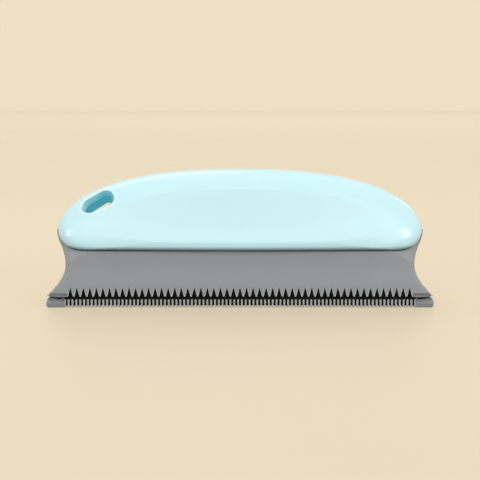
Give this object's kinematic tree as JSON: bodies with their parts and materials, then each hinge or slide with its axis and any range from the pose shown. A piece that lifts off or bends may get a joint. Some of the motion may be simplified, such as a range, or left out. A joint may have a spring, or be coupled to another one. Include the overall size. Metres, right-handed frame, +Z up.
{
  "type": "pet hair lint remover",
  "caption": "Hand-held pet hair and lint remover: an arched hollow handle with a hang slot over a flared rubber blade with coarse and fine rows of teeth.",
  "frame": {"origin": "middle of the blade's footprint, on the surface that the lower lips stand on", "axes": "+X along the blade, the hang slot at the -X end; -Y the pictured front face; +Z up from the teeth to the handle's crown"},
  "size_m": [0.1824, 0.036, 0.064],
  "materials": {
    "handle_blue": "glossy pale cyan",
    "blade_grey": "matte grey",
    "core_dark": "moulded, hidden",
    "screw_steel": "plated"
  },
  "bodies": {
    "root": {"handle_front_shell": "handle_blue", "handle_rear_shell": "handle_blue", "blade_core": "core_dark", "rubber_blade": "blade_grey", "shell_screw_1": "screw_steel", "shell_screw_2": "screw_steel", "shell_screw_3": "screw_steel", "shell_screw_4": "screw_steel"}
  },
  "joints": []
}
